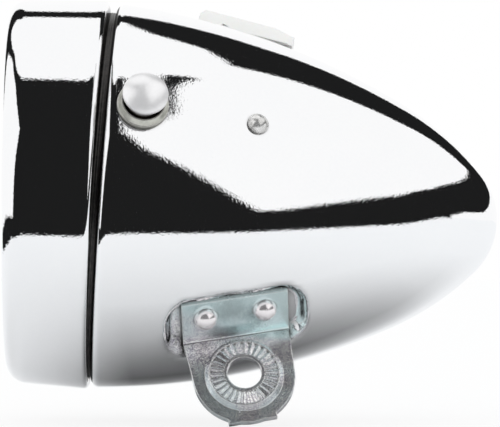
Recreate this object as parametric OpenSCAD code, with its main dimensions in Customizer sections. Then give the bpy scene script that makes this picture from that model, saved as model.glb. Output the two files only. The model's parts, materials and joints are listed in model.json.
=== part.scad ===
// Chromed bullet-shaped bicycle headlight with a riveted fork bracket, a top slide switch and a side button.
// The frame: +X towards the nose, +Z up in use, origin at the middle of the bracket's bolt hole.
// Lengths are in millimetres. Profiles are lists of [radius, distance along the lamp's axis].

/* [Shell] */
// Largest outside diameter of the bullet-shaped shell
shell_d = 71.8; // [68:0.1:74]
// Room between the battery cradle's end and the tip of the nose
nose_room = 9.8; // [9:0.1:12]
// Thickness of the shell's sheet brass
shell_wall = 0.8; // [0.6:0.05:1]
// Radius of the turned-in front edge
shell_edge_r = 1.5; // [1:0.1:1.8]
// How far in front of the shell's edge its side would run level with the axis
level_ahead = 8.1; // [4:0.1:9]
// Length of the blunt nose
nose_len = 18.8; // [17:0.1:21]
// Diameter of the shell where the nose starts
nose_d = 41.7; // [39.6:0.1:42.6]
// Radius of the nose's tip
tip_r = 13.6; // [12.4:0.1:13.8]
// Length of the neck that the rim is pushed on
neck_len = 9; // [7:0.2:10]

/* [Rim] */
// How far the rim's back edge stands proud of the shell, in radius
rim_proud = 0.15; // [0.15:0.05:0.6]
// Length of the rim along its axis, from the middle of its front
rim_len = 16.8; // [16:0.2:19]
// How far the rim's front slants, in degrees, so that its top reaches forwards as a short peak
front_slant = 2.75; // [1:0.25:4]
// How far the rim sits askew on the neck, in degrees
rim_skew = 1.5; // [0.25:0.25:1.75]
// Where round the neck the skewed rim's gap is widest, in degrees from the top towards the near side
skew_side = 30; // [0:5:60]
// Thickness of the rim's sheet brass
rim_wall = 0.7; // [0.5:0.05:0.9]
// Outside radius of the rim's front corner
rim_corner = 3.8; // [3.4:0.1:4.4]
// How much narrower the rim is in front than behind, in radius
rim_flare = 0.5; // [0:0.05:0.8]
// Width of the flat lip that holds the lens
rim_lip = 1.5; // [1.3:0.1:2]
// Radius of the rolled bead along the rim's back edge
bead_r = 0.95; // [0.85:0.05:1.1]
// Gap between the rim and the shell
rim_gap = 1.3; // [1.2:0.1:2]
// Gap between the bead and the neck, in radius
neck_clearance = 0.3; // [0.25:0.05:0.5]

/* [Lens and reflector] */
// Thickness of the rubber gasket in front of the lens
gasket_t = 0.8; // [0.6:0.1:1]
// Thickness of the lens at its edge
lens_edge_t = 2; // [1.8:0.1:2.4]
// How far the lens domes forward in its middle
lens_crown = 1.1; // [0.6:0.1:1.3]
// Number of upright flutes across the back of the lens
flute_count = 13; // [9:2:17]
// Depth of the flutes
flute_depth = 0.5; // [0.3:0.05:0.6]
// Thickness of the reflector's sheet
reflector_t = 0.5; // [0.4:0.05:0.7]
// Depth of the reflector's bowl, from the lens to its apex
reflector_depth = 20.2; // [19.4:0.1:21]
// Radius of the wire ring that holds the reflector in the rim
ring_wire_r = 0.65; // [0.5:0.05:0.8]

/* [Bulb and holder] */
// Radius of the bulb's glass globe
globe_r = 5.5; // [4.8:0.1:6]
// Outside diameter of the bulb's brass cap
cap_d = 9.4; // [9.2:0.1:9.8]
// Length of the bulb's brass cap
cap_len = 9; // [8.4:0.2:9.6]
// Wall of the holder's brass sleeve
sleeve_wall = 0.8; // [0.6:0.1:1]
// Gap between the cap and the sleeve, in radius
cap_clearance = 0.1; // [0.05:0.05:0.2]

/* [Bracket] */
// Thickness of the bracket's steel plate
plate_t = 1.3; // [1:0.05:1.5]
// Width of the bracket along its bend
plate_w = 19.5; // [18:0.5:21]
// Width of the tab at its round end
tab_w = 18.5; // [17:0.5:19.5]
// Width of the flange across the shell
flange_w = 9.6; // [9.2:0.1:10.6]
// Angle of the flange above the horizontal
flange_slope = 18; // [15:1:20]
// Height of the bend above the bolt hole
bend_up = 8.1; // [7.6:0.1:9]
// Diameter of the bolt hole, for an M6 bolt
hole_d = 6.2; // [5.4:0.1:6.6]
// Diameter of the raised ring round the bolt hole
boss_d = 14.2; // [13.4:0.1:14.8]
// Height of the raised ring
boss_h = 1.2; // [0.9:0.05:1.4]
// Number of teeth on the ring's face
tooth_count = 30; // [24:2:36]
// Depth of the teeth
tooth_depth = 0.35; // [0.2:0.05:0.45]
// Width of the straight lip at the tab's end
lip_w = 8.8; // [7:0.2:10]
// Distance of the lip from the middle of the bolt hole
lip_down = 9; // [8.8:0.1:10]
// Distance of the flange's middle behind the shell's front edge
bracket_back = 25.8; // [24:0.1:27]
// How deep the flange lies below the shell's surface
flange_recess = 2.5; // [1.8:0.1:2.6]
// Room between the flange's edge and the pocket's wall
pocket_room = 1.2; // [1:0.1:1.6]
// Room between the bend and the pocket's wall
bend_room = 0.2; // [0.1:0.1:1]
// Length of the pocket along the shell, on its floor
pocket_len = 24; // [23.4:0.2:25]
// Radius of the pocket's corners, on its floor
pocket_corner = 4.2; // [3.6:0.1:4.8]
// How far the pocket's walls lean outwards over their height
pocket_draft = 1.3; // [0.6:0.1:1.8]

/* [Rivets] */
// Diameter of the bracket rivets' heads
rivet_head_d = 4.2; // [3.8:0.1:4.6]
// Height of the bracket rivets' heads
rivet_head_h = 1.4; // [1:0.1:1.6]
// Diameter of the bracket rivets' shanks
rivet_d = 2.8; // [2.4:0.1:3]
// Distance between the two bracket rivets
rivet_pitch = 10.8; // [9.6:0.2:11.4]
// Distance of the bracket rivets from the bend
rivet_off = 5.8; // [5.6:0.1:6.4]
// Thickness of the backing plate inside the shell
backing_t = 1; // [0.8:0.1:1.2]
// Diameter of the stud that holds the leaf
stud_head_d = 3.8; // [3.4:0.1:4.2]
// Diameter of the stud's shank
stud_d = 2; // [1.8:0.1:2.2]

/* [Push button] */
// Distance of the button behind the shell's front edge
button_back = 6.5; // [6.2:0.1:8]
// Diameter of the button's domed head
button_d = 8.2; // [7.8:0.1:8.6]
// Height of the dome
button_dome_h = 1.9; // [1.5:0.1:2.3]
// Thickness of the head below its dome
button_edge_h = 0.5; // [0.4:0.1:0.8]
// Diameter of the button's stem
button_stem_d = 6; // [5.6:0.1:6.2]
// How far the button is pushed in
button_travel = 2; // [1.5:0.1:2.1]
// Free height left between the head and the collar when the button is pushed in
button_spare = 0.4; // [0.3:0.1:0.8]
// Height of the collar above the shell
collar_h = 1.6; // [1.4:0.1:2]
// Diameter of the collar at its foot
collar_foot_d = 9.3; // [9:0.1:9.8]
// Diameter of the collar at its lip
collar_lip_d = 8; // [7.8:0.1:8.2]
// Gap between the stem and the collar, in radius
stem_clearance = 0.1; // [0.05:0.05:0.2]
// Thickness of the button's leaf spring
leaf_t = 0.5; // [0.4:0.05:0.6]
// Width of the leaf spring
leaf_w = 6; // [5:0.2:7]
// Distance of the stud behind the shell's front edge
stud_back = 27.2; // [26.8:0.1:28.5]

/* [Slide switch] */
// Distance of the slider's front end behind the shell's front edge
slider_back = 14.3; // [14:0.1:16]
// Length of the slider
slider_len = 18.4; // [17:0.2:19]
// Width of the slider
slider_w = 15; // [13:0.5:16]
// Height of the slider
slider_h = 2.6; // [2.2:0.1:3.2]
// Gap between the slider and the top of the shell
slider_lift = 0.6; // [0.5:0.05:0.8]
// Travel of the slider
slider_travel = 4; // [3:0.2:4.6]
// Length of the stem that goes through the shell's slot
slider_stem_l = 5; // [4.4:0.2:5.6]
// Width of the stem
slider_stem_w = 4; // [3.4:0.2:4.6]
// Gap between the stem and its slot, on each side
slot_clearance = 0.3; // [0.3:0.05:0.5]

/* [Batteries] */
// Diameter of each cell
cell_d = 10.5; // [10.3:0.1:10.5]
// Length of each cell
cell_len = 44.5; // [43.3:0.1:44.5]
// Distance of each cell's middle from the lamp's axis
cell_ring_r = 6.35; // [6.3:0.05:6.4]
// Gap between a cell and its tube, in radius
cell_clearance = 0.1; // [0.05:0.05:0.15]
// Thickness of the bulkhead that carries the battery cradle
bulkhead_t = 1.5; // [1.2:0.1:1.8]
// Distance of the bulkhead behind the shell's front edge
bulkhead_back = 17; // [16.8:0.1:17.4]

/* [Hidden] */
$fn = 96;
eps = 0.01;
arc_steps = 8;

// The shell's outline: a long side arc, a nose arc and a round tip, each tangent to the next
shell_r = shell_d / 2;
shell_x = rim_len + rim_gap;
bulkhead_x = shell_x + bulkhead_back;
strip_t = 0.4;
cradle_end_t = 1.2;
tip_x = bulkhead_x + cell_len + strip_t + cradle_end_t + nose_room;
side_x = shell_x - level_ahead;
nose_x = tip_x - nose_len;
nose_drop = shell_r - nose_d / 2;
side_arc_r = (pow(nose_x - side_x, 2) + pow(nose_drop, 2)) / (2 * nose_drop);
side_arc_c = shell_r - side_arc_r;
nose_nx = (nose_x - side_x) / side_arc_r;
nose_nr = (nose_d / 2 - side_arc_c) / side_arc_r;
nose_ahead = nose_len - tip_r;
nose_arc_r = (pow(nose_ahead, 2) + pow(nose_d / 2, 2) - pow(tip_r, 2))
    / (2 * (nose_nr * nose_d / 2 - nose_nx * nose_ahead - tip_r));
nose_arc_x = nose_x - nose_arc_r * nose_nx;
nose_arc_c = nose_d / 2 - nose_arc_r * nose_nr;
nose_angle = asin(nose_nx);
tip_angle = atan2(tip_x - tip_r - nose_arc_x, -nose_arc_c);

// Radius and slope of the shell's side at x, with inset measured square to the surface
function side_r(x, inset = 0) = side_arc_c + sqrt(pow(side_arc_r - inset, 2) - pow(x - side_x, 2));
function side_slope(x) = asin((x - side_x) / side_arc_r);
// Points of an arc in a profile, by angle from the radial direction towards +X
function arc(x, r, radius, from, to, steps = arc_steps) = [
    for (i = [0 : steps]) let (a = from + (to - from) * i / steps) [r + radius * cos(a), x + radius * sin(a)]
];

// Places on the lamp, measured from the rim's front
rim_r = shell_r + rim_proud;
rim_front_r = rim_r - rim_flare;
neck_r = rim_r - 2 * bead_r - neck_clearance;
button_x = shell_x + button_back;
stud_x = shell_x + stud_back;
flange_x = shell_x + bracket_back;
slider_x = shell_x + slider_back + slider_len / 3;
lean = side_slope(flange_x);

// The lamp's axis as seen from the bolt hole, so that the flange lies in its pocket
plate_face = boss_h - plate_t / 2;
flange_mid_z = bend_up + flange_w / 2 * sin(flange_slope);
flange_to_axis = side_r(flange_x) - flange_recess;
lamp_at = [
    -flange_mid_z * sin(lean) - flange_x,
    plate_face - flange_w / 2 * cos(flange_slope) + flange_to_axis * sin(flange_slope),
    flange_mid_z * cos(lean) + flange_to_axis * cos(flange_slope)
];

// Frames
module lamp_frame() translate(lamp_at) children();
// The rim unit, turned at its bead, and within it the slanted front with all that follows it
module rim_frame() lamp_frame() translate([bead_x, 0, 0])
    rotate(a = rim_skew, v = [0, -cos(skew_side), -sin(skew_side)]) translate([-bead_x, 0, 0]) children();
module slanted() translate([rim_corner, 0, 0]) rotate([0, -front_slant, 0])
    translate([-rim_corner, 0, 0]) children();
module face_frame() rim_frame() slanted() children();
module turned(points) rotate([0, 90, 0]) rotate_extrude() polygon(points);
module rod(x, r, len) translate([x, 0, 0]) rotate([0, 90, 0]) cylinder(r = r, h = len);
module tube(x, r, wall, len) difference() {
    rod(x, r, len);
    rod(x - 1, r - wall, len + 2);
}
// The bracket before it leans with the shell: bolt hole along Y at the origin
module bracket_frame() rotate([0, -lean, 0]) children();
// On the flange: X along the bend, Y from the bend towards the flange's edge, Z outwards from its visible face
module flange_frame() bracket_frame() translate([0, plate_face, bend_up])
    rotate([180 - flange_slope, 0, 0]) children();
// On the near side of the shell at x: Z square to the surface, outwards, X forwards
module side_frame(x) translate([x, -side_r(x), 0]) rotate([0, 0, side_slope(x)]) rotate([90, 0, 0]) children();
// On the top of the shell, at the slider: X along the slider's travel, Z outwards
module slider_frame() translate([slider_x, 0, side_r(slider_x)]) rotate([0, side_slope(slider_x), 0]) children();
module at_rivets() for (side = [-1, 1]) translate([side * rivet_pitch / 2, rivet_off, 0]) children();
module box(low, high) translate(low) cube(high - low);

// Pocket for the flange: a tray with round corners and leaning walls, its floor under the flange
pocket_half_l = pocket_len / 2 - pocket_corner;
pocket_half_w = (flange_w + plate_t + pocket_room + bend_room) / 2 - pocket_corner;
pocket_mid = (flange_w - plate_t + pocket_room - bend_room) / 2;
pocket_rise = 8;
module tray_prism(half_w, half_l, low_r, top_r) rotate([90, 0, 90]) translate([0, 0, -half_l])
    linear_extrude(2 * half_l) polygon([[-half_w - low_r, 0], [half_w + low_r, 0],
        [half_w + top_r, pocket_rise], [-half_w - top_r, pocket_rise]]);
module pocket(grow = 0) {
    slope = pocket_draft / (flange_recess + plate_t);
    low_r = pocket_corner + grow - grow * slope;
    top_r = low_r + pocket_rise * slope;
    translate([0, pocket_mid, -plate_t - grow]) {
        for (x = [-1, 1], y = [-1, 1]) translate([x * pocket_half_l, y * pocket_half_w, 0])
            cylinder(r1 = low_r, r2 = top_r, h = pocket_rise);
        tray_prism(pocket_half_w, pocket_half_l, low_r - eps, top_r - eps);
        rotate([0, 0, 90]) tray_prism(pocket_half_l, pocket_half_w, low_r - eps, top_r - eps);
    }
}

// Shell
function shell_outline(inset) = concat(
    arc(side_x, side_arc_c, side_arc_r - inset, side_slope(shell_x + shell_edge_r), nose_angle, 28),
    arc(nose_arc_x, nose_arc_c, nose_arc_r - inset, nose_angle, tip_angle, 14),
    arc(tip_x - tip_r, 0, tip_r - inset, tip_angle, 90, 10)
);
edge_r = side_r(shell_x + shell_edge_r);
module shell_form() turned(concat(
    [[0, shell_x - neck_len], [neck_r, shell_x - neck_len], [neck_r, shell_x]],
    arc(shell_x + shell_edge_r, edge_r - shell_edge_r, shell_edge_r, -90, 0),
    shell_outline(0)
));
module shell_cavity() turned(concat(
    [[0, shell_x - neck_len - 1], [neck_r - shell_wall, shell_x - neck_len - 1],
     [neck_r - shell_wall, shell_x + shell_wall]],
    [[edge_r - shell_edge_r, shell_x + shell_wall]],
    shell_outline(shell_wall)
));
module shell() color("gainsboro") difference() {
    lamp_frame() shell_form();
    difference() {
        lamp_frame() shell_cavity();
        flange_frame() pocket(shell_wall);
    }
    flange_frame() {
        pocket();
        at_rivets() translate([0, 0, -plate_t - 4]) cylinder(d = rivet_d, h = 8);
    }
    lamp_frame() {
        side_frame(button_x) translate([0, 0, -4]) cylinder(d = collar_bore_d + 2 * collar_t, h = 8);
        side_frame(stud_x) translate([0, 0, -4]) cylinder(d = stud_d, h = 8);
        slider_frame() {
            slider_slot();
            at_switch_rivets() translate([0, 0, -4]) cylinder(d = switch_rivet_d, h = 8);
        }
    }
}

// Bracket: an L of steel plate with a serrated ring pressed up round the bolt hole.
// The ring's face and the bore stand towards the near side, so the bore's middle is at the origin.
boss_top_r = boss_d / 2 - boss_h * 0.55;
tooth_in_r = hole_d / 2 + 0.7;
tooth_out_r = boss_top_r - 0.3;
tooth_tilt = atan(tooth_depth / tooth_out_r);
bend_r = 0.6;
bend_turn = 90 - flange_slope;
bend_start = bend_r * tan(bend_turn / 2);
module tab_outline() {
    tab_top = bend_up - bend_start + eps;
    intersection() {
        circle(d = tab_w);
        translate([-tab_w / 2, -tab_w / 2]) square([tab_w, tab_w / 2 + eps]);
    }
    translate([-lip_w / 2, -lip_down]) square([lip_w, lip_down]);
    polygon([[-tab_w / 2, 0], [tab_w / 2, 0], [plate_w / 2, tab_top], [-plate_w / 2, tab_top]]);
}
// The bend and the flange seen along the bend, with the visible faces meeting at the origin
module flange_profile() {
    reach = 2 * (bend_r + plate_t);
    translate([-bend_r, -bend_start]) intersection() {
        difference() {
            circle(r = bend_r + plate_t);
            circle(r = bend_r);
        }
        polygon([[0, 0], [reach, 0], reach * [cos(bend_turn / 2), sin(bend_turn / 2)],
                 reach * [cos(bend_turn), sin(bend_turn)]]);
    }
    rotate([0, 0, -flange_slope]) translate([-flange_w, 0]) square([flange_w - bend_start + eps, plate_t]);
}
module boss(grow = 0) rotate([90, 0, 0]) cylinder(r1 = boss_d / 2 - grow, r2 = boss_top_r - grow, h = boss_h);
// Grooves that run to a point on the bore's axis, so that they widen outwards and leave sharp teeth
module grooves() {
    rise = 2 * tooth_depth;
    half = 0.92 * rise * tan(180 / tooth_count) / tan(tooth_tilt);
    for (i = [0 : tooth_count - 1]) rotate([0, i * 360 / tooth_count, 0]) rotate([0, 0, tooth_tilt])
        translate([tooth_in_r, 0, 0]) rotate([0, 90, 0]) linear_extrude(tooth_out_r - tooth_in_r)
            polygon([[0, 0], [half, -rise], [-half, -rise]]);
}
module bracket_plate() color("lightsteelblue") difference() {
    bracket_frame() difference() {
        union() {
            translate([0, plate_face + plate_t, 0]) rotate([90, 0, 0]) linear_extrude(plate_t) tab_outline();
            translate([-plate_w / 2, plate_face, bend_up]) rotate([90, 0, 90]) linear_extrude(plate_w)
                flange_profile();
            translate([0, plate_face, 0]) boss();
        }
        translate([0, plate_face + plate_t, 0]) boss(0.45 * plate_t);
        rotate([90, 0, 0]) cylinder(d = hole_d, h = 20, center = true);
        translate([0, plate_face - boss_h, 0]) grooves();
    }
    flange_frame() at_rivets() translate([0, 0, -4]) cylinder(d = rivet_d, h = 8);
}

// Rivets
module dome(d, h) {
    ball_r = (pow(d / 2, 2) + pow(h, 2)) / (2 * h);
    rotate_extrude() intersection() {
        translate([0, h - ball_r]) circle(r = ball_r);
        square([d / 2, h]);
    }
}
rivet_tail_h = 0.8;
inner_z = -plate_t - shell_wall;
module bracket_rivets() color("silver") flange_frame() at_rivets() {
    tail_z = inner_z - backing_t;
    dome(rivet_head_d, rivet_head_h);
    translate([0, 0, tail_z - rivet_tail_h]) cylinder(d = rivet_d, h = -tail_z + rivet_tail_h + eps);
    translate([0, 0, tail_z - rivet_tail_h]) cylinder(d1 = rivet_d + 0.5, d2 = rivet_d + 1.2, h = rivet_tail_h);
}
module bracket_backing_plate() color("silver") flange_frame() difference() {
    half_l = (rivet_pitch + rivet_head_d) / 2;
    half_w = rivet_head_d / 2 + 1;
    box([-half_l, rivet_off - half_w, inner_z - backing_t], [half_l, rivet_off + half_w, inner_z]);
    at_rivets() translate([0, 0, inner_z - backing_t - 1]) cylinder(d = rivet_d, h = 9);
}

// Push button on the near side: a flared collar, a mushroom head on a stem, and a foot inside the shell
collar_t = 0.5;
collar_bore_d = button_stem_d + 2 * stem_clearance;
collar_foot_h = 0.4;
head_z = collar_h + button_travel + button_spare;
foot_t = 0.8;
foot_z = -shell_wall - sag(button_d / 2, shell_r) - 0.2;
// Depth of a round surface's edge below its top
function sag(half, r) = r - sqrt(r * r - half * half);
module under_side(x) rotate([0, 90, 0]) translate([side_r(x), 0, -10]) cylinder(r = side_r(x), h = 20);
module button_collar() color("darkkhaki") lamp_frame() side_frame(button_x) difference() {
    union() {
        translate([0, 0, -shell_wall]) cylinder(d = collar_bore_d + 2 * collar_t, h = shell_wall + collar_foot_h);
        difference() {
            foot_low = sag(collar_foot_d / 2, side_r(button_x));
            translate([0, 0, -foot_low]) cylinder(d = collar_foot_d, h = foot_low + collar_foot_h);
            under_side(button_x);
        }
        translate([0, 0, collar_foot_h])
            cylinder(d1 = collar_foot_d - 0.4, d2 = collar_lip_d, h = collar_h - collar_foot_h);
    }
    translate([0, 0, -4]) cylinder(d = collar_bore_d, h = 5 + collar_h);
    translate([0, 0, collar_h - 0.9]) cylinder(d1 = collar_bore_d, d2 = collar_lip_d - 0.5, h = 0.9 + eps);
}
module button_head() color("silver") lamp_frame() side_frame(button_x) {
    translate([0, 0, foot_z]) cylinder(d = button_stem_d, h = head_z - foot_z + eps);
    translate([0, 0, head_z]) cylinder(d = button_d, h = button_edge_h);
    translate([0, 0, head_z + button_edge_h - eps]) dome(button_d, button_dome_h);
}
module button_foot() color("tan") lamp_frame() side_frame(button_x)
    translate([0, 0, foot_z - foot_t]) cylinder(d = button_d, h = foot_t);

// Leaf spring inside the shell, from the stud to the button
leaf_z = foot_z - foot_t;
leaf_tip = 3.5;
leaf_root = 2.5;
stud_inner_z = -shell_wall - sag(leaf_w / 2, side_r(stud_x) - shell_wall) - sag(leaf_root, side_arc_r) - eps;
module leaf_piece(low_x, high_x, top_z)
    box([low_x, -leaf_w / 2, top_z - leaf_t], [high_x, leaf_w / 2, top_z]);
module button_leaf() color("goldenrod") lamp_frame() difference() {
    union() {
        side_frame(stud_x) leaf_piece(-leaf_root, leaf_root, stud_inner_z);
        hull() {
            side_frame(stud_x) leaf_piece(-leaf_root, -leaf_root + eps, stud_inner_z);
            side_frame(button_x) leaf_piece(leaf_tip - eps, leaf_tip, leaf_z);
        }
        side_frame(button_x) leaf_piece(-leaf_tip, leaf_tip, leaf_z);
    }
    side_frame(stud_x) translate([0, 0, -9]) cylinder(d = stud_d, h = 12);
}
stud_collar_h = 0.5;
stud_tail_h = 0.6;
module leaf_stud() color("silver") lamp_frame() side_frame(stud_x) {
    tail_z = stud_inner_z - leaf_t;
    difference() {
        low = sag(stud_head_d / 2, side_r(stud_x));
        translate([0, 0, -low]) cylinder(d = stud_head_d, h = low + stud_collar_h);
        under_side(stud_x);
    }
    translate([0, 0, stud_collar_h - eps]) dome(stud_head_d - 0.4, stud_head_d / 3);
    translate([0, 0, tail_z - stud_tail_h]) cylinder(d = stud_d, h = stud_collar_h - tail_z + stud_tail_h);
    translate([0, 0, tail_z - stud_tail_h]) cylinder(d = stud_d + 1.4, h = stud_tail_h);
}
// Fixed contact that the pressed leaf meets, riveted to the front of the bulkhead
module button_contact() color("goldenrod") lamp_frame() {
    meet_y = -side_r(button_x) - leaf_z + leaf_t + button_travel + 0.1;
    foot_y = meet_y + 6;
    box([button_x - 1.5, meet_y, -1.5], [bulkhead_x, meet_y + strip_t, 1.5]);
    box([bulkhead_x - strip_t, meet_y, -1.5], [bulkhead_x, foot_y, 1.5]);
    translate([bulkhead_x - strip_t, foot_y - 2, 0]) rotate([0, -90, 0]) dome(2, 0.5);
}

// Slide switch on the top
stem_x = slider_len / 6;
guide_w = 14;
guide_ahead = 4.5;
guide_behind = stem_x + slider_stem_l / 2 + slider_travel + 5;
guide_t = 1.2;
guide_z = -shell_wall - sag(guide_w / 2, side_r(slider_x) - shell_wall) - sag(guide_behind, side_arc_r) - 0.15;
guide_low = guide_z - guide_t;
switch_rivet_d = 1.8;
shoe_t = 0.6;
shoe_gap = 0.1;
module at_switch_rivets() for (side = [-1, 1])
    translate([stem_x + slider_travel / 2, side * (slider_stem_w / 2 + slot_clearance + 2.6), 0]) children();
module slider_slot() box(
    [stem_x - slider_stem_l / 2 - slot_clearance, -slider_stem_w / 2 - slot_clearance, -9],
    [stem_x + slider_stem_l / 2 + slider_travel + slot_clearance, slider_stem_w / 2 + slot_clearance, 9]
);
slider_front = -slider_len / 3;
slider_rear = slider_front + slider_len;
slider_top = slider_lift + slider_h;
slider_wall = 0.9;
module slider_side() polygon([
    [slider_front, slider_lift], [slider_front, slider_top - 1], [slider_front + 0.8, slider_top],
    [slider_rear - 4, slider_top], [slider_rear, slider_top - 1], [slider_rear, slider_lift - 0.2],
    [slider_rear - slider_wall, slider_lift - 0.2], [slider_rear - slider_wall, slider_lift],
    [slider_front + 6.4, slider_lift], [slider_front + 4.8, slider_lift + 0.7], [slider_front + 4.2, slider_lift]
]);
module switch_slider() color("ivory") lamp_frame() slider_frame() difference() {
    union() {
        rotate([90, 0, 0]) translate([0, 0, -slider_w / 2]) linear_extrude(slider_w) slider_side();
        box([stem_x - slider_stem_l / 2, -slider_stem_w / 2, guide_low - shoe_gap],
            [stem_x + slider_stem_l / 2, slider_stem_w / 2, slider_lift + slider_h / 2]);
    }
    difference() {
        box([slider_front + slider_wall, -slider_w / 2 + slider_wall, slider_lift - 1],
            [slider_rear - slider_wall, slider_w / 2 - slider_wall, slider_top - slider_wall]);
        box([stem_x - slider_stem_l / 2, -slider_stem_w / 2, slider_lift - 2],
            [stem_x + slider_stem_l / 2, slider_stem_w / 2, slider_top]);
    }
    for (i = [-2 : 2]) translate([stem_x + i * 2, 0, slider_top + 0.5]) rotate([90, 0, 0])
        cylinder(r = 0.8, h = slider_w - 4, center = true);
}
module slider_shoe() color("silver") lamp_frame() slider_frame()
    box([stem_x - slider_stem_l / 2 - 1.5, -slider_stem_w / 2 - 0.6, guide_low - shoe_gap - shoe_t],
        [stem_x + slider_stem_l / 2 + 1.5, slider_stem_w / 2 + 0.6, guide_low - shoe_gap]);
bridge_z = guide_low - shoe_gap - shoe_t;
module slider_contact() color("goldenrod") lamp_frame() slider_frame()
    box([stem_x + 1, -slider_stem_w / 2 - 1.6, bridge_z - strip_t],
        [stem_x + 4.5, slider_stem_w / 2 + 1.6, bridge_z]);
module switch_contacts() color("goldenrod") lamp_frame() slider_frame() for (side = [-1, 1])
    translate([0, side * (slider_stem_w / 2 + 1.6), 0])
        box([stem_x + slider_travel + 1.4, -0.7, guide_low - strip_t],
            [guide_behind - 0.5, 0.7, guide_low]);
module switch_guide_plate() color("saddlebrown") lamp_frame() slider_frame() difference() {
    box([-guide_ahead, -guide_w / 2, guide_low], [guide_behind, guide_w / 2, guide_z]);
    slider_slot();
    at_switch_rivets() translate([0, 0, -9]) cylinder(d = switch_rivet_d, h = 12);
}
module switch_rivets() color("silver") lamp_frame() slider_frame() at_switch_rivets() {
    head_z = 0.15;
    translate([0, 0, guide_low - 0.5]) cylinder(d = switch_rivet_d, h = head_z - guide_low + 0.5);
    translate([0, 0, guide_low - 0.5]) cylinder(d = switch_rivet_d + 0.8, h = 0.5);
    intersection() {
        translate([0, 0, -1]) cylinder(d = switch_rivet_d + 1.2, h = 1 + head_z);
        difference() {
            translate([-3, -3, -1]) cube([6, 6, 2]);
            rivet_y = slider_stem_w / 2 + slot_clearance + 2.6;
            for (side = [-1, 1]) translate([0, side * rivet_y, 0]) under_side(slider_x);
        }
    }
}

// Batteries: a bulkhead seated in the shell's taper, a cradle with three bores, cells and contact strips
cradle_wall = 0.8;
cell_bore_r = cell_d / 2 + cell_clearance;
cradle_r = cell_ring_r + cell_bore_r + cradle_wall;
cradle_x = bulkhead_x + bulkhead_t;
cell_end_x = bulkhead_x + cell_len;
hub_bore_r = 4.2;
nub_r = 2.7;
nub_h = 1;
bulkhead_r = side_r(bulkhead_x + bulkhead_t, shell_wall) - 0.02;
module at_cells() for (i = [0 : 2]) rotate([i * 120, 0, 0]) translate([0, 0, cell_ring_r]) children();
module battery_bulkhead() color("saddlebrown") difference() {
    lamp_frame() difference() {
        rod(bulkhead_x, bulkhead_r, bulkhead_t);
        at_cells() rod(bulkhead_x - 1, cell_bore_r, bulkhead_t + 2);
        rod(bulkhead_x - 1, hub_bore_r, bulkhead_t + 2);
        leaf_notch_y = -side_r(stud_x) - stud_inner_z + leaf_t + 0.3;
        box([bulkhead_x - 1, -shell_r, -leaf_w / 2 - 0.5], [bulkhead_x + bulkhead_t + 1, leaf_notch_y, leaf_w / 2 + 0.5]);
        slider_frame() box([-guide_ahead - 3, -guide_w / 2 - 0.5, bridge_z - strip_t - 0.5],
            [guide_behind + 1, guide_w / 2 + 0.5, 3]);
    }
    flange_frame() translate([0, 0, -backing_t - rivet_tail_h]) pocket(shell_wall + 0.3);
}
module battery_cradle() color("dimgray") lamp_frame() difference() {
    groove_r = 6;
    groove_at = cradle_r + groove_r / 3;
    union() {
        rod(cradle_x, cradle_r, cell_end_x + strip_t + cradle_end_t - cradle_x);
        rod(cradle_x, cradle_r + 0.5, 1);
    }
    at_cells() {
        rod(cradle_x - 1, cell_bore_r, cell_end_x + strip_t - cradle_x + 1);
        box([cradle_x + 8, -3, 0], [cell_end_x - 8, 3, 2 * cell_d]);
    }
    for (i = [0 : 2]) rotate([i * 120 + 60, 0, 0]) translate([0, 0, groove_at])
        rod(cradle_x + 3, groove_r, cell_len);
    rod(cradle_x - 1, hub_bore_r, cell_end_x + strip_t - cradle_x + 1);
}
module battery_cells() color("darkseagreen") lamp_frame() for (i = [0 : 2]) rotate([i * 120, 0, 0])
    translate([0, 0, cell_ring_r]) {
        forward = i != 1;
        rod(bulkhead_x + (forward ? nub_h : 0), cell_d / 2, cell_len - nub_h);
        rod(bulkhead_x + (forward ? 0 : cell_len - nub_h - eps), nub_r, nub_h + eps);
    }
// Front strips: one links two cells, the other carries the third cell to the middle contact
pad_r = 2.4;
link_w = 2;
module cell_pad(i, x) rotate([i * 120, 0, 0]) translate([0, 0, cell_ring_r]) rod(x, pad_r, strip_t);
// Strip at x that links cell i with the next one
module cell_link(i, x) {
    half = cell_ring_r * sin(60);
    cell_pad(i, x);
    cell_pad(i + 1, x);
    rotate([i * 120 + 60, 0, 0]) translate([0, 0, cell_ring_r / 2])
        box([x, -half, -link_w / 2], [x + strip_t, half, link_w / 2]);
}
module front_contacts() color("goldenrod") lamp_frame() {
    front = bulkhead_x - strip_t;
    cell_link(1, front);
    cell_pad(0, front);
    box([front, -link_w / 2, 0], [front + strip_t, link_w / 2, cell_ring_r]);
    translate([0, 0, (contact_end_x - rim_corner) * sin(front_slant)])
        rod(contact_end_x, link_w / 2, front - contact_end_x + strip_t);
}
module rear_contacts() color("goldenrod") lamp_frame() {
    cell_link(0, cell_end_x);
    cell_pad(2, cell_end_x);
}

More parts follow.
